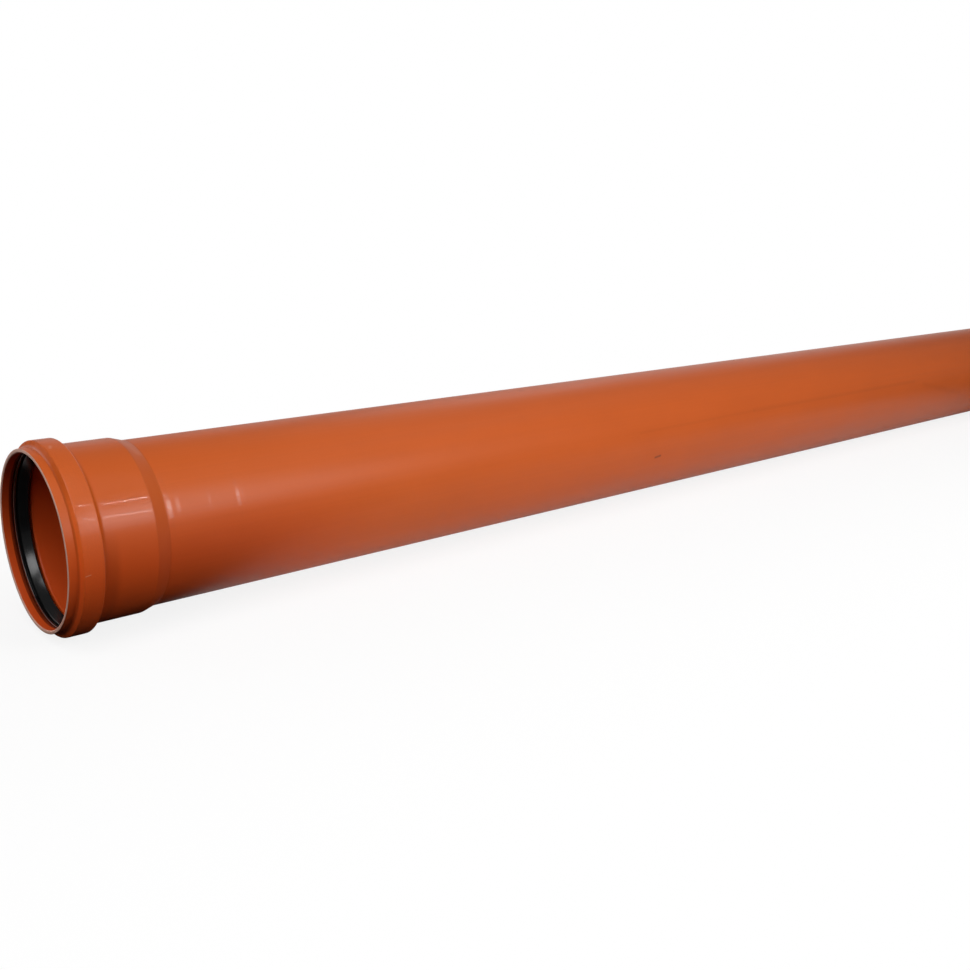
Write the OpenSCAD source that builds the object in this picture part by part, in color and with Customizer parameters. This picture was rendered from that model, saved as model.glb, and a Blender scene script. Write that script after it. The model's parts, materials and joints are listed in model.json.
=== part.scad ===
// Plastic sewer pipe with an integral ring-seal socket, and the rubber ring in its groove.
// The pipe lies along X. The origin is on its axis at the socket's stop, where a pushed-in
// pipe ends, so a string of pipes is laid at a pitch of lay_length. The mouth faces -X.

/* [Barrel] */
// Outside diameter of the barrel and the spigot
barrel_d = 160; // [140:1:180]
// Wall thickness of the barrel
barrel_wall = 4; // [3:0.1:5]
// Laying length, from the socket's stop to the spigot end
lay_length = 2000; // [500:10:5000]

/* [Spigot end] */
// Length of the outside chamfer
chamfer_l = 7; // [4:0.5:10]
// Slope of the chamfer, in degrees
chamfer_angle = 15; // [10:1:18]

/* [Socket] */
// Depth of the socket, from its mouth to the stop
socket_depth = 80; // [64:1:120]
// Wall thickness of the formed socket
socket_wall = 3.6; // [3:0.1:5]
// Radial gap between the socket's bore and a pushed-in pipe
socket_gap = 0.3; // [0.2:0.05:0.8]
// Length of the taper between the socket and the barrel
taper_l = 13; // [11:0.5:30]
// Radius of the taper's rounded corners, on the hollow side of each
taper_round = 3; // [1:0.5:6]

/* [Mouth] */
// Length of the straight mouth in front of the ring groove
mouth_l = 9.6; // [6:0.1:13]
// Radial gap between the mouth and a pushed-in pipe
mouth_gap = 0.8; // [0.4:0.05:1.5]
// Width of the lead-in chamfer inside the mouth
lead_in = 0.8; // [0.4:0.1:1.4]
// Radius of the rounded outer edge of the mouth
lip_round = 0.8; // [0.3:0.1:1.4]
// Radius of the mouth's rounded inner end, where it turns up into the groove
mouth_round = 3; // [1:0.5:4]

/* [Ring groove] */
// Depth of the groove below the socket's bore
groove_depth = 6.6; // [5.5:0.1:8]
// Length of the groove's floor, corner to corner
groove_l = 13.2; // [11:0.1:24]
// Slope of the groove's front wall, in degrees
front_angle = 60; // [55:1:84]
// Slope of the groove's rear wall, in degrees
rear_angle = 80; // [60:1:84]
// Radius of the two corners of the groove's floor
floor_round = 1; // [0.3:0.1:1.5]
// Radius of the rounded step from the groove's rear wall into the bore
step_round = 2; // [0.5:0.5:5]
// Radius of the bead's two outside corners, which a clamp presses round the groove
bead_round = 1.5; // [0.5:0.1:2.5]
// Radius of the outside hollow behind the bead, at its foot
hollow_round = 5; // [0.5:0.5:6]

/* [Seal ring] */
// Free length that the ring leaves in front of it and behind it in the groove
seal_play = 0.5; // [0.2:0.1:2]
// Radial gap between the ring's nose and a pushed-in pipe
nose_gap = 1.7; // [1:0.1:3]
// Length of the ring's nose, in front of its lip
nose_l = 3.2; // [2.5:0.1:5]
// Width of the V between the nose and the lip
notch_w = 1.8; // [1:0.1:2.5]
// Depth of the V
notch_depth = 2; // [1:0.1:3]
// Radius of the ring's rounded edges
seal_round = 0.8; // [0.3:0.1:1]

/* [Hidden] */
$fn = 96;
arc_steps = 6;
least_round = 0.5;

barrel_r = barrel_d / 2;
waterway_r = barrel_r - barrel_wall;
bore_r = barrel_r + socket_gap;
mouth_r = barrel_r + mouth_gap;
groove_r = bore_r + groove_depth;

// Stations along X, on the inside face
mouth_x = -socket_depth;
groove_foot_x = mouth_x + mouth_l;
groove_start_x = groove_foot_x + (groove_r - mouth_r) / tan(front_angle);
groove_end_x = groove_start_x + groove_l;
groove_back_x = groove_end_x + groove_depth / tan(rear_angle);

// The bore is straight right up to the stop, so the taper's first corner stands back from it
// by the length of its round
taper_angle = atan((bore_r - waterway_r) / taper_l);
taper_start_x = taper_round * tan(taper_angle / 2);
taper_end_x = taper_start_x + taper_l;

// The ring lies on the groove's floor, and its front leans with the groove's front wall. The
// lip is drawn pressed back, as a pushed-in pipe leaves it, so that it is flush with the
// socket's bore.
nose_r = barrel_r + nose_gap;
seal_foot_x = groove_start_x + seal_play;
nose_x = seal_foot_x - (groove_r - nose_r) / tan(front_angle);
seal_end_x = groove_end_x - floor_round * tan(rear_angle / 2) - seal_play;

// Unit vector from a to b
function heading(a, b) = (b - a) / norm(b - a);

// The same vector turned a quarter turn to the left
function left_of(v) = [-v[1], v[0]];

// Corner b of the path a, b, c, moved w to the left of both of its legs
function mitre(a, b, c, w) =
    let (m = left_of(heading(a, b)), n = left_of(heading(b, c)))
    b + w * (m + n) / (1 + m * n);

// Points of a round of radius r in corner b of the path a, b, c
function rounded(a, b, c, r) =
    r == 0 ? [b] :
    let (
        u = heading(b, a),
        v = heading(b, c),
        half = acos(u * v) / 2,
        centre = b + (u + v) / norm(u + v) * r / sin(half),
        from = b + u * r / tan(half) - centre,
        turn = sign(u[0] * v[1] - u[1] * v[0]) * (2 * half - 180)
    )
    [for (i = [0 : arc_steps])
        let (t = turn * i / arc_steps)
        centre + [from[0] * cos(t) - from[1] * sin(t), from[0] * sin(t) + from[1] * cos(t)]];

// A closed outline of [x, radius, corner round] rows, with its corners rounded
function outline(rows) =
    let (n = len(rows), at = [for (row = rows) [row[0], row[1]]])
    [for (i = [0 : n - 1])
        each rounded(at[(i + n - 1) % n], at[i], at[(i + 1) % n], rows[i][2])];

// A solid of revolution about X from rows of [x, radius, corner round]
module turned(rows) {
    rotate([0, 90, 0])
        rotate_extrude()
            polygon([for (p = outline(rows)) [p[1], p[0]]]);
}

// The socket's inside face, from the mouth to the stop and on down the taper. Its last row's
// round belongs to the barrel.
socket_inside = [
    [mouth_x, mouth_r, 0],
    [groove_foot_x, mouth_r, mouth_round],
    [groove_start_x, groove_r, floor_round],
    [groove_end_x, groove_r, floor_round],
    [groove_back_x, bore_r, step_round],
    [taper_start_x, bore_r, taper_round],
    [taper_end_x, waterway_r, taper_round]
];

inside_last = len(socket_inside) - 1;

// The round on the other face of a wall: smaller by the wall where the wall bulges inwards,
// and larger elsewhere, but for the bead's corners and the hollow behind it, which are pressed
// to rounds of their own
function outside_round(i) =
    let (
        a = socket_inside[i - 1],
        b = socket_inside[i],
        c = socket_inside[i + 1],
        bend = (b[0] - a[0]) * (c[1] - b[1]) - (b[1] - a[1]) * (c[0] - b[0])
    )
    b[1] == groove_r ? bead_round :
    b[0] == groove_back_x ? hollow_round :
    bend < 0 ? b[2] + socket_wall : max(b[2] - socket_wall, least_round);

// The socket's outside face runs parallel to its inside face
socket_outside = [
    [mouth_x, mouth_r + socket_wall, lip_round],
    for (i = [1 : inside_last - 1])
        let (
            a = socket_inside[i - 1],
            b = socket_inside[i],
            c = socket_inside[i + 1],
            p = mitre([a[0], a[1]], [b[0], b[1]], [c[0], c[1]], socket_wall)
        )
        [p[0], p[1], outside_round(i)]
];

module pipe() {
    lead_in_end = [mouth_x + lead_in, mouth_r, 0];
    lip_inner = [mouth_x, mouth_r + lead_in, 0];
    spigot_drop = chamfer_l * tan(chamfer_angle);
    color("#C55E2B")
        turned([
            lip_inner,
            lead_in_end,
            for (i = [1 : inside_last]) socket_inside[i],
            [lay_length, waterway_r, 0],
            [lay_length, barrel_r - spigot_drop, 0],
            [lay_length - chamfer_l, barrel_r, 0],
            [taper_end_x, barrel_r, taper_round],
            for (i = [inside_last - 1 : -1 : 0]) socket_outside[i]
        ]);
}

module seal_ring() {
    notch_x = nose_x + nose_l;
    color("#1C1C1D")
        turned([
            [nose_x, nose_r, seal_round],
            [notch_x, nose_r, seal_round / 2],
            [notch_x + notch_w / 2, nose_r + notch_depth, seal_round / 4],
            [notch_x + notch_w, bore_r, seal_round / 2],
            [seal_end_x, bore_r, seal_round],
            [seal_end_x, groove_r, seal_round],
            [seal_foot_x, groove_r, seal_round]
        ]);
}

pipe();
seal_ring();
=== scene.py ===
# %% [markdown]
# # A push-fit sewer pipe and its lip seal
# The part is two things: an orange-brown length of PVC-U pipe with one end belled into a
# socket, and a black rubber ring that sits in the socket's bead. Both are turned shapes, so
# each is drawn as half a section and spun round the pipe's axis.
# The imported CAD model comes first, because every size and place below is read from it.

# %% Load the frame
import json
from math import atan, hypot, pi, radians, tan

import bmesh
import bpy
from mathutils import Euler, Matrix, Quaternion, Vector


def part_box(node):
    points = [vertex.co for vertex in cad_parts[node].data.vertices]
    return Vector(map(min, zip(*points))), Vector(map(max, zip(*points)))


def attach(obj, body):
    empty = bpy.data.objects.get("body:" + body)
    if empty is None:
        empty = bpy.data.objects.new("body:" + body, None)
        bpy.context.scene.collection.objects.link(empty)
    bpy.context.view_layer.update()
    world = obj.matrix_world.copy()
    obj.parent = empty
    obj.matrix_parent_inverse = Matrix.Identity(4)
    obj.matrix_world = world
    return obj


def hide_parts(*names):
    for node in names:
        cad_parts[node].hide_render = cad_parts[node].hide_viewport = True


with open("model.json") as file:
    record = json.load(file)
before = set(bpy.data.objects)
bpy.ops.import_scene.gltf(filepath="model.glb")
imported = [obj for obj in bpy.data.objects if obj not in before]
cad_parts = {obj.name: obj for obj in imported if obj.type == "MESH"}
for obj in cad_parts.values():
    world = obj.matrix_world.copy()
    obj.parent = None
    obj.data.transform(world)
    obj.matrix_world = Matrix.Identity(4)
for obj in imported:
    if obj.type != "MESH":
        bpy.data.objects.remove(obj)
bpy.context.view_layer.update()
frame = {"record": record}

# %% [markdown]
# ## Camera
# The pipe is seen from close by, beside its mouth and a little above, so that the barrel
# shrinks away to the right and runs out of the frame. A camera is placed by its position
# and by two turns: how far it looks down, and which way it faces on the ground.

# %% Camera
lens_mm = 39.86
camera_data = bpy.data.cameras.new("camera")
camera_data.lens = lens_mm
camera_data.clip_start = 0.01
camera = bpy.data.objects.new("camera", camera_data)
camera.location = (-0.3837, -0.9599, 0.2743)
looks_down = radians(13.521)
faces = radians(-41.266)
camera.rotation_euler = Euler((pi / 2 - looks_down, 0, faces))
bpy.context.scene.collection.objects.link(camera)
bpy.context.scene.camera = camera
print("camera at", tuple(camera.location), "lens", lens_mm, "mm")

# %% [markdown]
# ## Sizes
# A pipe's fits are the sizes that matter: its outside, its bore, and the socket's bore. They
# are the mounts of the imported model, so they are read from there and not typed again. The
# section's other sizes are the ones the CAD part is built with.

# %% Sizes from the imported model
mm = 0.001
mounts = {mount["name"]: mount for mount in frame["record"]["mounts"]}
barrel_r = mounts["spigot"]["dims"]["r_mm"] * mm
waterway_r = mounts["waterway"]["dims"]["r_mm"] * mm
bore_r = mounts["socket"]["dims"]["r_mm"] * mm
pipe_low, pipe_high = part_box("pipe")
ring_low, ring_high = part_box("seal_ring")
mouth_x = pipe_low[0]
spigot_x = pipe_high[0]
print("barrel radius", barrel_r, "bore", bore_r, "mouth at", mouth_x, "spigot end at", spigot_x)

# %% [markdown]
# ## The section of the pipe
# The socket is blown out of the plain pipe while it is hot, over a mandrel that carries the
# seal. Its wall keeps one thickness, so the outside follows the inside at a steady distance.
# Each corner is a station along the pipe, a radius and the size of its round. The outside
# corners are found by moving the inside ones out by the wall. The bead's two, and the hollow
# behind it, have rounds of their own, because a clamp presses them round the groove.

# %% Inside of the socket
socket_wall = 3.6 * mm
mouth_r = barrel_r + 0.8 * mm
mouth_l = 9.6 * mm
groove_r = bore_r + 6.6 * mm
groove_l = 13.2 * mm
front_angle, rear_angle = radians(60), radians(80)
taper_l = 13 * mm
mouth_round, floor_round, step_round, taper_round = 3 * mm, 1 * mm, 2 * mm, 3 * mm
bead_round, hollow_round, least_round = 1.5 * mm, 5 * mm, 0.5 * mm

groove_foot_x = mouth_x + mouth_l
groove_start_x = groove_foot_x + (groove_r - mouth_r) / tan(front_angle)
groove_end_x = groove_start_x + groove_l
groove_back_x = groove_end_x + (groove_r - bore_r) / tan(rear_angle)
taper_angle = atan((bore_r - waterway_r) / taper_l)
taper_start_x = taper_round * tan(taper_angle / 2)
taper_end_x = taper_start_x + taper_l
inside = [
    (mouth_x, mouth_r, 0),
    (groove_foot_x, mouth_r, mouth_round),
    (groove_start_x, groove_r, floor_round),
    (groove_end_x, groove_r, floor_round),
    (groove_back_x, bore_r, step_round),
    (taper_start_x, bore_r, taper_round),
    (taper_end_x, waterway_r, taper_round),
]
print("inside corners:", len(inside))


# %% Outside of the socket
def moved_out(before, corner, after, distance):
    """The corner of a path, moved to the left of both of its legs."""
    b = Vector(corner[:2])
    into, out = (b - Vector(before[:2])).normalized(), (Vector(after[:2]) - b).normalized()
    left, right = Vector((-into.y, into.x)), Vector((-out.y, out.x))
    hollow = into.cross(out) > 0
    round_r = corner[2] - distance if hollow else corner[2] + distance
    if corner[1] == groove_r:
        round_r = bead_round
    if corner[0] == groove_back_x:
        round_r = hollow_round
    x, r = b + distance * (left + right) / (1 + left.dot(right))
    return x, r, max(round_r, least_round)


outside = [
    moved_out(*inside[i - 1:i + 2], socket_wall)
    for i in range(1, len(inside) - 1)
]
crease_x, shoulder_x, bead_end_x, hollow_x = [corner[0] for corner in outside[:4]]
lip_round, lead_in = 0.8 * mm, 0.8 * mm
chamfer_l, chamfer_angle, chamfer_round = 7 * mm, radians(15), 1 * mm
cut_round = 0.3 * mm
section = [
    (mouth_x, mouth_r + lead_in, cut_round),
    (mouth_x + lead_in, mouth_r, cut_round),
    *inside[1:],
    (spigot_x, waterway_r, cut_round),
    (spigot_x, barrel_r - chamfer_l * tan(chamfer_angle), cut_round),
    (spigot_x - chamfer_l, barrel_r, chamfer_round),
    (taper_end_x, barrel_r, taper_round),
    *reversed(outside),
    (mouth_x, mouth_r + socket_wall, lip_round),
]
print("corners of the whole section:", len(section))

# %% [markdown]
# ## Turning a section
# A turned shape is a flat outline spun round an axis. The outline is a face, so that the
# bevel tool can round its corners, and the face is then taken away and only its edge is
# spun. Rings of extra edges beside each round keep the smooth shading of the long straight
# walls from bending towards the round.

# %% Spin a section round X
turn_steps = 192
same_place = 1e-6


def turned_mesh(name, corners, segments, rings):
    """A closed mesh from (x, radius, round) corners, spun round the X axis."""
    bm = bmesh.new()
    points = [bm.verts.new((x, 0, r)) for x, r, _ in corners]
    bm.faces.new(points)
    count = len(corners)
    for i, (x, r, size) in enumerate(corners):
        here = Vector((x, r))
        legs = [Vector(corners[(i + step) % count][:2]) - here for step in (-1, 1)]
        bend = pi - legs[0].angle(legs[1])
        bmesh.ops.bevel(
            bm, geom=[points[i]], affect="VERTICES", offset=size * tan(bend / 2),
            offset_type="OFFSET", segments=segments, profile=0.5, material=-1)
    bmesh.ops.delete(bm, geom=list(bm.faces), context="FACES_ONLY")
    bmesh.ops.spin(
        bm, geom=list(bm.verts) + list(bm.edges), cent=(0, 0, 0), axis=(1, 0, 0),
        angle=2 * pi, steps=turn_steps, use_merge=True)
    bmesh.ops.remove_doubles(bm, verts=bm.verts, dist=same_place)
    for x in rings:
        bmesh.ops.bisect_plane(
            bm, geom=list(bm.verts) + list(bm.edges) + list(bm.faces),
            dist=same_place, plane_co=(x, 0, 0), plane_no=(1, 0, 0))
    bmesh.ops.recalc_face_normals(bm, faces=bm.faces)
    for face in bm.faces:
        face.smooth = True
    mesh = bpy.data.meshes.new(name)
    bm.to_mesh(mesh)
    bm.free()
    piece = bpy.data.objects.new(name, mesh)
    bpy.context.scene.collection.objects.link(piece)
    print(name, "has", len(mesh.polygons), "faces")
    return piece


print("a turn has", turn_steps, "steps")

# %% The pipe
beside_rounds = [
    taper_end_x + 2 * mm, taper_start_x - 2 * mm, hollow_x + 6 * mm, groove_start_x + 5 * mm,
    spigot_x - 0.6 * mm, spigot_x - chamfer_l - 1.5 * mm,
]
along_barrel = [0.1 * i for i in range(1, 20)]
pipe = turned_mesh("pipe_shell", section, segments=6, rings=beside_rounds + along_barrel)
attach(pipe, "root")
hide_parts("pipe")

# %% [markdown]
# ## The lip seal
# The ring fills the bead from end to end, with a little play. Its nose leans with the
# groove's front wall, and behind a narrow V a thin lip leans in and back, narrower than the
# next pipe, which bends it open when it is pushed home. It is turned in the same way, from
# its own small section.

# %% The seal
nose_r = barrel_r + 1.7 * mm
lip_tip_r = barrel_r - 3.4 * mm
rim_r = groove_r - 0.1 * mm
nose_x, heel_x = ring_low[0], ring_high[0]
seal_section = [
    (nose_x, nose_r, 0.8 * mm),
    (nose_x + 2.4 * mm, nose_r, 0.5 * mm),
    (nose_x + 3.3 * mm, nose_r + 2.4 * mm, 0.3 * mm),
    (nose_x + 4.4 * mm, barrel_r + 0.9 * mm, 0.8 * mm),
    (heel_x - 1.6 * mm, lip_tip_r, 0.5 * mm),
    (heel_x - 0.6 * mm, lip_tip_r + 0.9 * mm, 0.5 * mm),
    (nose_x + 8.0 * mm, groove_r - 2.6 * mm, 0.8 * mm),
    (heel_x, groove_r - 1.6 * mm, 0.5 * mm),
    (heel_x, rim_r, 0.3 * mm),
    (nose_x + (groove_r - nose_r) / tan(front_angle), rim_r, 0.8 * mm),
]
seal = turned_mesh("lip_seal", seal_section, segments=5, rings=[])
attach(seal, "root")
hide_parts("seal_ring")

# %% [markdown]
# ## Writing a material as sums
# A finish is a drawing in numbers: where on the pipe a point is, how far round, which way it
# faces. Those sums are easier to read as Python than as a web of nodes, so a small class
# holds a node's output, and adding or multiplying two of them adds the Math node that does
# it. Every other kind of node is made by its one method, `add`.


# %% Sums of node outputs
class Wire:
    """The output of a node in a material; arithmetic on it makes Math nodes."""

    def __init__(self, tree, socket=None):
        self.tree, self.socket = tree, socket

    def add(self, kind, settings=(), sockets=(), output=0):
        """A new node with its settings, then the values or wires of its sockets."""
        node = self.tree.nodes.new(kind)
        for key, value in dict(settings).items():
            setattr(node, key, value)
        for key, value in dict(sockets).items():
            if isinstance(value, Wire):
                self.tree.links.new(value.socket, node.inputs[key])
            else:
                node.inputs[key].default_value = value
        return Wire(self.tree, node.outputs[output]) if len(node.outputs) else node

    def out(self, output):
        """Another output of the same node."""
        return Wire(self.tree, self.socket.node.outputs[output])

    def maths(self, operation, *others):
        """A Math node of this value and the others."""
        values = enumerate((self, *others))
        return self.add("ShaderNodeMath", {"operation": operation}, values)

    def __add__(self, other):
        return self.maths("ADD", other)

    def __sub__(self, other):
        return self.maths("SUBTRACT", other)

    def __rsub__(self, other):
        return self * -1 + other

    def __mul__(self, other):
        return self.maths("MULTIPLY", other)

    def __truediv__(self, other):
        return self.maths("DIVIDE", other)

    __radd__, __rmul__ = __add__, __mul__

    def rise(self, low, high, bottom=0, top=1):
        """From bottom to top as the value goes from low to high, eased at both ends."""
        settings = {"interpolation_type": "SMOOTHSTEP"}
        values = {"Value": self, "From Min": low, "From Max": high,
                  "To Min": bottom, "To Max": top}
        return self.add("ShaderNodeMapRange", settings, values)

    def within(self, low, high, soft):
        """1 between low and high, with soft shoulders."""
        return self.rise(low - soft, low + soft) * self.rise(high - soft, high + soft, 1, 0)


print("sums ready")


# %% Starting and ending a material
def new_material(name):
    """An empty material, and the wire that its first nodes are added from."""
    material = bpy.data.materials.new(name)
    material.use_nodes = True
    tree = material.node_tree
    tree.nodes.clear()
    return material, Wire(tree)


def finish_material(start, shader):
    """The shader becomes what the material shows."""
    start.add("ShaderNodeOutputMaterial", sockets={"Surface": shader})


def parts(start, vector):
    """A vector's three numbers."""
    x = start.add("ShaderNodeSeparateXYZ", sockets={"Vector": vector})
    return x, x.out("Y"), x.out("Z")


print("material tools ready")

# %% [markdown]
# ## Where a point is
# Everything on a turned part follows two things: how far along the axis a point is, and
# which way round. Object coordinates give both, because the pipe's axis is the X axis.
# Noise that is stretched along X looks like the faint lines a die leaves on an extruded
# barrel, and noise that is squeezed along X looks like the fine rings of a turned tool.


# %% Coordinates on a turned part
class Place:
    """Along the axis, round it and away from it, for one material."""

    def __init__(self, start):
        self.start = start
        point = start.add("ShaderNodeTexCoord").out("Object")
        self.x, y, z = parts(start, point)
        radius = (y * y + z * z).maths("SQRT")
        self.side, self.up = y / radius, z / radius
        facing = start.add("ShaderNodeNewGeometry").out("Normal")
        self.facing_x, facing_y, facing_z = parts(start, facing)
        self.outward = facing_y * self.side + facing_z * self.up
        self.turn = z.maths("ARCTAN2", y * -1) * (180 / pi)

    def noise(self, along, around, detail=2, rough=0.5):
        """Noise from 0 to 1 with so many features a metre and a turn's radius."""
        stretched = self.start.add("ShaderNodeCombineXYZ", sockets={
            "X": self.x * along, "Y": self.side * around, "Z": self.up * around})
        return self.start.add("ShaderNodeTexNoise", sockets={
            "Vector": stretched, "Scale": 1, "Detail": detail, "Roughness": rough})

    def mark(self, x_a, turn_a, x_b, turn_b, width):
        """A soft stroke between two places, each a station in mm and a turn in degrees."""
        degree = barrel_r / mm * pi / 180
        along, around = x_b - x_a, (turn_b - turn_a) * degree
        length = hypot(along, around)
        u, v = along / length, around / length
        px, py = self.x / mm - x_a, (self.turn - turn_a) * degree
        on_line = (px * u + py * v).maths("MAXIMUM", 0).maths("MINIMUM", length)
        dx, dy = px - on_line * u, py - on_line * v
        away = (dx * dx + dy * dy).maths("SQRT")
        return away.rise(0, 2 * width, 1, 0)


print("places ready")

# %% [markdown]
# ## Orange-brown PVC-U
# Sewer pipe is coloured right through with iron oxide, and comes from the die with a satin
# skin. The socket is glossier, because it is heated again and pressed against a polished
# mandrel and a cold sleeve, so it gets a clear coat. The bead is brushed by the tool that
# shapes it, and the top of its front slope and the hollow behind it are dull. The sawn mouth
# and the turned chamfer at the spigot are paler and rougher, and the sawn mouth is painted
# lighter still, as light falling on it from the left.
# One class names these zones, each a mask that is 1 in its zone and 0 outside it, and
# another names the fine grain that the tools leave. The marks, the colour and the gloss are
# then written with those names. A mixed colour goes through Mix and Vector Math nodes.

# %% Colours of the pipe, in linear red, green and blue
pvc = (0.548, 0.0985, 0.0150)
# a redder, shaded copy of the skin, painted as shade inside and on the low side
shaded_pvc = (0.590, 0.0735, 0.0113)
# the pale of the scuffs, also used for a painted reflection on the taper
scuff_and_sheen_pvc = (0.72, 0.36, 0.24, 1)
# the cut faces: paler because they are cut, and lighter still as painted light on the sawn end
cut_pvc_with_painted_light = (0.74, 0.46, 0.36, 1)
print("colour of the pipe's skin", pvc)


# %% Mixing and scaling colours
def mixed(start, factor, a, b):
    """Colour a where the factor is 0, and b where it is 1."""
    values = {"Factor": factor, 6: a, 7: b}
    return start.add("ShaderNodeMix", {"data_type": "RGBA"}, values, output=2)


def scaled(start, colour, scale):
    """The colour made lighter or darker, with its hue kept."""
    values = {0: colour, "Scale": scale}
    return start.add("ShaderNodeVectorMath", {"operation": "SCALE"}, values)


print("colour tools ready")


# %% Zones of the pipe
class Zones:
    """Masks for the pipe's faces and bands, along it and round it."""

    def __init__(self, at):
        self.outside = at.outward.rise(-0.2, 0.2)
        self.inside = 1 - self.outside

        # the sawn end of the mouth, and the gap between the mouth and the seal's nose, which is
        # darkened as painted shade
        sawn_end = at.x.rise(mouth_x + 0.5 * mm, mouth_x + 1.5 * mm, 1, 0)
        self.sawn = at.facing_x.rise(-0.75, -0.45, 1, 0) * sawn_end
        gap = at.x.within(groove_foot_x - 2.6 * mm, groove_foot_x + 2 * mm, 0.5 * mm)
        self.gap = gap * self.inside

        # the bead, its front slope, which is painted lighter as if lit from the left, the top
        # of that slope, painted only a little lighter, and the slope's rear edge
        self.bead = at.x.within(crease_x, bead_end_x, 1 * mm) * self.outside
        self.slope = at.x.within(crease_x + 1.2 * mm, shoulder_x, 0.6 * mm) * self.outside
        self.slope_top = self.slope * at.up.rise(0.4, 0.8)
        self.shoulder = at.x.within(shoulder_x - 1 * mm, shoulder_x + 1 * mm, 0.8 * mm)

        # the hollow behind the bead, and the low side of the collar in the bead's lee, both
        # darkened as painted shade
        hollow = at.x.within(bead_end_x + 0.6 * mm, hollow_x + 3.5 * mm, 1.2 * mm)
        self.hollow = hollow * self.outside
        lee_shade = at.x.within(bead_end_x, hollow_x + 14 * mm, 4 * mm)
        self.lee_shade = lee_shade * at.up.rise(-0.2, 0.4, 1, 0) * self.outside

        # the socket's collar, the taper, the barrel and the turned chamfer at its end
        self.collar = at.x.within(hollow_x + 3 * mm, taper_start_x, 0.8 * mm)
        self.taper = at.x.within(taper_start_x, taper_end_x + 1 * mm, 0.8 * mm) * self.outside
        self.barrel = at.x.rise(taper_end_x - 2 * mm, taper_end_x + 2 * mm) * self.outside
        chamfer_x = spigot_x - chamfer_l
        self.turned = at.x.rise(chamfer_x - 0.4 * mm, chamfer_x + 0.4 * mm) * self.outside

        # the low side, which fades out along the first third of a metre of the barrel; it
        # carries painted shade, darker and in the redder shaded colour
        self.underside_shade = at.up.rise(-0.3, 0.6, 1, 0) * at.x.rise(0.02, 0.3, 1, 0)


print("zones ready")


# %% Grain of the pipe
class Grain:
    """What the tools left on the surface, as noises about 0."""

    def __init__(self, at):
        self.die_lines = at.noise(1.2, 26, 3, 0.6) - 0.5
        self.clouds = at.noise(9, 1.4) - 0.5
        self.tool_rings = at.noise(900, 1.5, 3, 0.7) - 0.5
        self.specks = at.noise(700, 60) - 0.5


print("grain ready")


# %% Scuffs, a painted reflection and dark lines
# from (mm, degrees), to (mm, degrees), half width in mm, strength
scuffs_and_sheen = (
    # painted reflection: a pale smear on the top of the taper
    (4, 87, 9.5, 66, 3, 0.1),
    (-67.8, -8.2, -63.4, -7.7, 0.35, 0.5),
    (-64.5, 75, -63, 77.5, 1.2, 0.25),
)
dark_lines = (
    (685, -12.8, 695, -12, 1.2, 0.6),
    (655, 13.2, 900, 14.6, 1.8, 0.05),
    (900, 14.6, 1360, 14, 2.6, 0.07),
    (1390, 8, 1530, -12, 4, 0.07),
)


def drawn(at, strokes):
    """All the strokes of a list together."""
    return sum(at.mark(*stroke) * strength for *stroke, strength in strokes)


print(len(scuffs_and_sheen), "scuffs and", len(dark_lines), "dark lines")

# %% Rubbed rings
# middle, half width and soft edge in mm, strength
glossy_rings = (
    (17.5, 2.1, 0.7, 1),
    (26, 2, 0.8, 0.35),
    (57, 1.2, 0.8, 0.2),
    (86, 1.8, 0.8, 0.7),
    (91, 0.5, 0.8, 0.3),
)


def rubbed(at):
    """Rings that were rubbed glossy on one side of the barrel, and are worn to short lines."""
    rings = sum(
        at.x.within((middle - width) * mm, (middle + width) * mm, soft * mm) * strength
        for middle, width, soft, strength in glossy_rings)
    worn = at.noise(25, 7, 3, 0.6).rise(0.3, 0.55)
    return rings * worn * at.turn.within(2, 44, 7)


print(len(glossy_rings), "glossy rings")


# %% The pipe's colour
def pvc_shade(at, zone, grain):
    """How light the colour is, about 1."""
    shade = 1 + grain.die_lines * 0.10 * zone.barrel + grain.clouds * 0.10
    shade = shade + grain.tool_rings * 0.12 * (zone.bead + zone.sawn)
    shade = shade + grain.specks * (0.03 + zone.bead * 0.1)
    darker = (
        (drawn(at, dark_lines) * zone.outside, 1),
        # painted shade in the gap inside the mouth
        (zone.gap, 0.7),
        # painted shade in the hollow behind the bead
        (zone.hollow, 0.12),
        # painted shade on the collar's low side behind the bead
        (zone.lee_shade, 0.2),
        (zone.taper, 0.15),
        # painted shade on the barrel's low side
        (zone.underside_shade * zone.barrel, 0.06),
        # painted shade and light in the bore: darker towards its top, lighter towards its
        # bottom
        (zone.inside * at.up.rise(-0.5, 0.6, -1, 1), 0.18),
    )
    lighter = (
        # painted light on the bead's front slope, as if lit from the left; only a little on its
        # top
        (zone.slope - zone.slope_top, 0.5),
        (zone.slope_top, 0.08),
        # painted light on the bead, more on its low side
        (zone.bead * at.up.rise(0, 0.8, 0.08, 0.03), 1),
    )
    for zone_mask, amount in darker:
        shade = shade * (1 - zone_mask * amount)
    for zone_mask, amount in lighter:
        shade = shade * (1 + zone_mask * amount)
    return shade


def pvc_colour(start, at, zone, grain):
    """The skin, with a redder copy painted as shade inside and on the low side, then the scuffs
    and a painted reflection, and the cut faces, lighter with painted light.
    """
    shade = pvc_shade(at, zone, grain)
    # the shaded copy is painted shade, inside and on the low side
    body = mixed(start, zone.outside * (1 - zone.underside_shade * 0.9),
                 scaled(start, shaded_pvc, shade), scaled(start, pvc, shade))
    # scuffs, and a painted reflection on the top of the taper
    worn = mixed(start, drawn(at, scuffs_and_sheen) * zone.outside, body, scuff_and_sheen_pvc)
    # cut faces, paler because cut, with painted light on the sawn end
    return mixed(start, zone.sawn * 0.85 + zone.turned * 0.3, worn, cut_pvc_with_painted_light)


print("colour ready")


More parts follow.
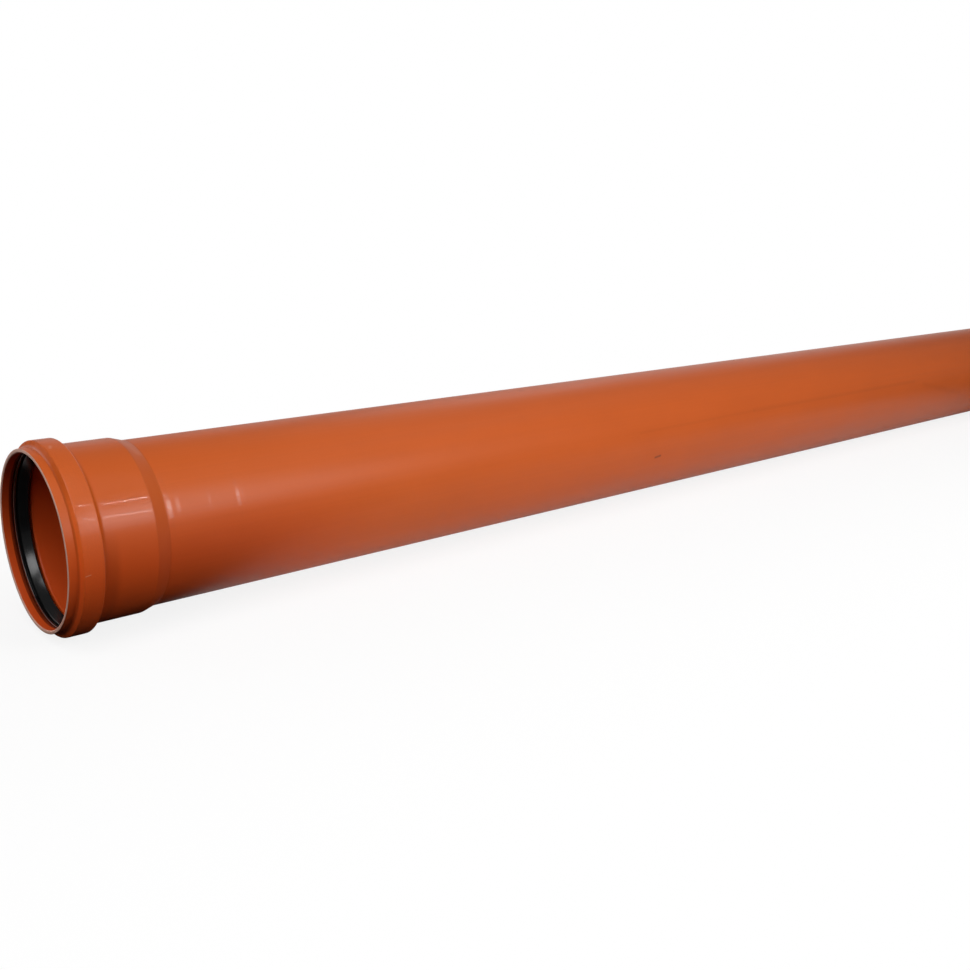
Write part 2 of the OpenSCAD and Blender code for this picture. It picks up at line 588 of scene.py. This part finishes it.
# %% The pipe's material
skin_roughness, skin_ior = 0.36, 1.315
coat_roughness, coat_ior = 0.05, 1.4
relief_depth, relief_strength = 0.3 * mm, 0.35


def make_pvc():
    material, start = new_material("orange_pvc")
    at = Place(start)
    zone, grain = Zones(at), Grain(at)
    colour = pvc_colour(start, at, zone, grain)

    roughness = skin_roughness + grain.die_lines * 0.10 + grain.clouds * 0.10
    roughness = roughness + 0.05 * zone.bead + 0.22 * zone.sawn + 0.12 * zone.turned
    coat = zone.bead * 0.18 + zone.shoulder * 0.18 + zone.collar * 0.16 + rubbed(at)
    relief = grain.tool_rings * (zone.bead * 0.5 + zone.sawn + zone.turned)
    relief = relief + grain.die_lines * zone.barrel * 0.6
    relief = relief + grain.specks * 0.12 * (1 - zone.collar * 0.8)
    normal = start.add("ShaderNodeBump", sockets={
        "Strength": relief_strength, "Distance": relief_depth, "Height": relief})
    satin = start.add("ShaderNodeBsdfPrincipled", sockets={
        "Base Color": colour, "Roughness": roughness, "IOR": skin_ior, "Normal": normal,
        "Coat Weight": coat * zone.outside, "Coat Roughness": coat_roughness,
        "Coat IOR": coat_ior})
    dull = start.add("ShaderNodeBsdfDiffuse", sockets={"Color": colour})
    dullness = zone.hollow * 0.5 + zone.slope_top * 0.8
    shader = start.add("ShaderNodeMixShader", sockets={0: dullness, 1: satin, 2: dull})
    finish_material(start, shader)
    return material


pipe.data.materials.append(make_pvc())
print("pipe finished in", pipe.data.materials[0].name)

# %% [markdown]
# ## Black rubber
# The seal is moulded EPDM, greased or silicone-dusted at the works. It is nearly black, a
# little shiny on the lip, and has the fine rings of its mould. A thin pale line is painted on
# the edge of its nose as a highlight.


# %% The seal's material
rubber = (0.006, 0.0065, 0.007)
# a painted highlight for the edge of the seal's nose
rubber_painted_glint = (0.36, 0.15, 0.12, 1)
rubber_roughness, rubber_ior = 0.2, 1.5
mould_depth, mould_strength = 0.1 * mm, 0.12


def make_rubber():
    material, start = new_material("black_rubber")
    at = Place(start)
    mould_rings = at.noise(1500, 2) - 0.5
    bloom = at.noise(60, 9, 3, 0.6) - 0.5
    shade = 1 + bloom * 0.9
    nose_glint = at.x.rise(nose_x + 0.5 * mm, nose_x + 1.1 * mm, 1, 0)
    colour = mixed(start, nose_glint * 0.9, scaled(start, rubber, shade), rubber_painted_glint)
    roughness = rubber_roughness + bloom * 0.06 + mould_rings * 0.03
    normal = start.add("ShaderNodeBump", sockets={
        "Strength": mould_strength, "Distance": mould_depth, "Height": mould_rings})
    shader = start.add("ShaderNodeBsdfPrincipled", sockets={
        "Base Color": colour, "Roughness": roughness, "IOR": rubber_ior, "Normal": normal})
    finish_material(start, shader)
    return material


seal.data.materials.append(make_rubber())
print("seal finished in", seal.data.materials[0].name)

# %% [markdown]
# ## Floor
# The pipe lies on two places, the bead and the tip of the barrel, so its bed rises by a third
# of a degree towards the spigot. The floor is a plain pale sheet. To the camera most of it is
# plain glow, and further off all of it, so that it melts into the white behind without any
# more light falling on the pipe. What isn't glow takes the pipe's shadow. In the pipe's gloss
# it glows only far behind, and faintly in front. Under the socket it throws hardly any light
# back, as if a dark card lay there, and the socket's belly stays dark.

# %% The floor
bead_low = groove_r + socket_wall
rest_x = groove_start_x + 10 * mm
bed_tilt = atan((bead_low - barrel_r) / (spigot_x - chamfer_l - rest_x))
half_width, air_gap = 30, 0.1 * mm
floor_z = -bead_low - rest_x * tan(bed_tilt) - air_gap
bm = bmesh.new()
bmesh.ops.create_grid(bm, x_segments=2, y_segments=2, size=half_width)
lean = Euler((0, -bed_tilt, 0)).to_matrix()
bmesh.ops.rotate(bm, verts=bm.verts, cent=(0, 0, 0), matrix=lean)
bmesh.ops.translate(bm, verts=bm.verts, vec=(0, 0, floor_z))
floor_mesh = bpy.data.meshes.new("floor")
bm.to_mesh(floor_mesh)
bm.free()
floor = bpy.data.objects.new("floor", floor_mesh)
bpy.context.scene.collection.objects.link(floor)
print("floor rises by", round(bed_tilt * 180 / pi, 2), "degrees")


# %% Telling rays apart
def rays(start):
    """Masks for straight rays, for mirrored ones, and for all that show the background."""
    path = start.add("ShaderNodeLightPath")
    straight, mirrored = path.out("Is Camera Ray"), path.out("Is Glossy Ray")
    through = path.out("Is Transmission Ray")
    return straight, mirrored, straight.maths("MAXIMUM", mirrored).maths("MAXIMUM", through)


print("rays ready")


# %% The floor's material
white = (1, 1, 1, 1)


def make_floor_material():
    material, start = new_material("pale_floor")
    straight, mirrored, seen = rays(start)
    x, y, _ = parts(start, start.add("ShaderNodeTexCoord").out("Object"))

    # how much of the floor is glow: to the camera, and in the pipe's gloss
    away = y.maths("ABSOLUTE").rise(0.1, 0.7)
    away = away.maths("MAXIMUM", (x - 1).maths("ABSOLUTE").rise(1.2, 2.6))
    lit = (x + y * 1.2).rise(-0.01, 0.065) * x.rise(1.5, 1.95, 1, 0.05)
    far = y.rise(0.1, 1.2)
    mirror_share = far + (1 - far) * mirrored * lit * 0.2
    share = (straight * (away * 0.15 + 0.85) + (1 - straight) * mirror_share) * seen

    # what the rest of it throws back: white to the camera, darker to every other ray
    bounce = mirrored * (lit * 0.75 + 0.02) + (1 - mirrored) * x.rise(0.01, 0.2, 0.02, 0.74)
    tone = start.add("ShaderNodeCombineColor", sockets={0: bounce, 1: bounce, 2: bounce})
    flagged = start.add("ShaderNodeBsdfDiffuse", sockets={"Color": tone})
    plain = start.add("ShaderNodeBsdfDiffuse", sockets={"Color": white})
    sheet = start.add("ShaderNodeMixShader", sockets={0: straight, 1: flagged, 2: plain})
    glow = start.add("ShaderNodeEmission", sockets={"Color": white, "Strength": 1})
    shader = start.add("ShaderNodeMixShader", sockets={0: share, 1: sheet, 2: glow})
    finish_material(start, shader)
    return material


floor_mesh.materials.append(make_floor_material())
print("floor finished in", floor_mesh.materials[0].name)

# %% [markdown]
# ## World
# To the camera the world is plain white. It lights the pipe only a little, as a dim room
# does, and the lamps do the rest. The gloss mirrors that room with three brighter patches:
# one far behind, one to the right, and a pale band low at the back, which the barrel's upper
# edge shows.

# %% The world
room = 0.13
mirrored_room = 0.14


def make_world():
    world = bpy.data.worlds.new("studio")
    world.use_nodes = True
    world.node_tree.nodes.clear()
    start = Wire(world.node_tree)
    straight, _, seen = rays(start)
    x, y, z = parts(start, start.add("ShaderNodeTexCoord").out("Generated"))
    behind = y.rise(0.2, 0.45) * x.rise(0.35, 0.85) * x.rise(0.88, 0.95, 1, 0.15) * 0.5
    beside = x.within(0.6, 0.82, 0.06) * z.rise(0, 0.1) * y.rise(0, 0.3, 1, 0) * 0.22
    low_band = z.rise(0.15, 0.26, 0.25, 0) * y.rise(0, 0.35)
    walls = mirrored_room + behind + beside + low_band
    strength = straight + (1 - straight) * (seen * walls + (1 - seen) * room)
    background = start.add("ShaderNodeBackground", sockets={
        "Color": white, "Strength": strength})
    start.add("ShaderNodeOutputWorld", sockets={"Surface": background})
    return world


bpy.context.scene.world = make_world()
print("world set to", bpy.context.scene.world.name)

# %% [markdown]
# ## Lamps
# Glossy orange plastic is drawn by what it mirrors, so the lamps are placed as in a studio
# for products. A large soft panel stands in front of the barrel. It brightens from its foot
# to a band half-way up and fades again above. Two narrow strips are rolled to lie along the
# pipe's mirror image of them: one draws the fine line on the collar, and the other the crisp
# top of the broad highlight under it. Panels on the left light the mouth and the bead, wide
# ones overhead light the upper side, and the ones behind keep the back from going dark.
# The low strip behind only lights; the pipe's gloss doesn't show it.

# %% Lamps
# name: (x, y, z), (width, height), radiance in units of white, roll in degrees
lamps = {
    "front_left": ((0.80, -1.81, 0.96), (1.0, 1.1), 9.1),
    "front_strip": ((0.66, -1.36, 1.385), (0.3, 0.02), 105, -13),
    "front_edge": ((0.67, -1.688, 0.961), (0.3, 0.05), 25, -37),
    "front_mid": ((1.47, -1.63, 0.98), (0.9, 0.9), 0.5),
    "front_right": ((1.60, -2.20, 2.00), (0.9, 0.75), 0.95),
    "left_far": ((-1.66, -1.22, 1.45), (0.9, 0.9), 4.0),
    "left_near": ((-1.22, -1.57, 1.60), (1.2, 1.1), 1.2),
    "left_high": ((-1.12, -2.62, 3.45), (1.8, 1.6), 0.85),
    "over_left": ((-0.75, -0.80, 2.60), (1.4, 1.2), 3.7),
    "over_mid": ((0.40, -0.80, 2.60), (1.4, 1.2), 0.55),
    "over_right": ((2.00, -0.80, 2.60), (1.4, 1.2), 0.7),
    "over_back": ((2.00, 0.80, 2.60), (1.4, 1.2), 0.3),
    "back_right": ((3.00, 2.40, 2.00), (1.4, 0.8), 0.7),
    "back_low": ((1.00, 2.40, 1.00), (1.4, 0.8), 0.4),
    "back_high": ((1.00, 2.40, 2.00), (1.4, 0.8), 0.2),
    "back_strip": ((0.30, 0.70, -0.03), (3.2, 0.11), 2.5),
    "back_left": ((-1.50, 2.20, 0.80), (1.4, 1.0), 1.7),
}
not_mirrored = {"back_strip"}
aim = Vector((0.3, 0, 0))


def add_lamp(name, place, size, radiance, roll=0):
    """A rectangle that faces the pipe, turned about its own centre by the roll."""
    data = bpy.data.lights.new(name, "AREA")
    data.shape, data.size, data.size_y = "RECTANGLE", *size
    width, height = size
    data.energy = radiance * pi * width * height
    lamp = bpy.data.objects.new(name, data)
    lamp.location = place
    facing = (Vector(place) - aim).to_track_quat("Z", "Y")
    lamp.rotation_euler = (facing @ Quaternion((0, 0, 1), radians(roll))).to_euler()
    lamp.visible_camera = False
    lamp.visible_glossy = name not in not_mirrored
    bpy.context.scene.collection.objects.link(lamp)
    return data


lamp_data = {name: add_lamp(name, *settings) for name, settings in lamps.items()}
print("lamps:", ", ".join(lamps))

# %% How the front panel fades
panel = lamp_data["front_left"]
panel.use_nodes = True
panel.node_tree.nodes.clear()
start = Wire(panel.node_tree)
_, up, _ = parts(start, start.add("ShaderNodeNewGeometry").out("Parametric"))
fade = up.rise(0, 0.4, 0.25, 0.65) - up.rise(0.6, 0.66, 0, 0.15) - up.rise(0.78, 0.86, 0, 0.45)
fade = fade + up.within(0.47, 0.57, 0.05) * 0.38
shown = start.add("ShaderNodeCombineColor", sockets={0: fade, 1: fade, 2: fade})
glow = start.add("ShaderNodeEmission", sockets={"Color": shown, "Strength": 1})
start.add("ShaderNodeOutputLight", sockets={"Surface": glow})
print("front panel is brightest half-way up")

# %% [markdown]
# ## Last settings
# The Standard view shows colours as they are mixed, with no film look on top.

# %% The view
bpy.context.scene.view_settings.view_transform = "Standard"
print("view transform:", bpy.context.scene.view_settings.view_transform)
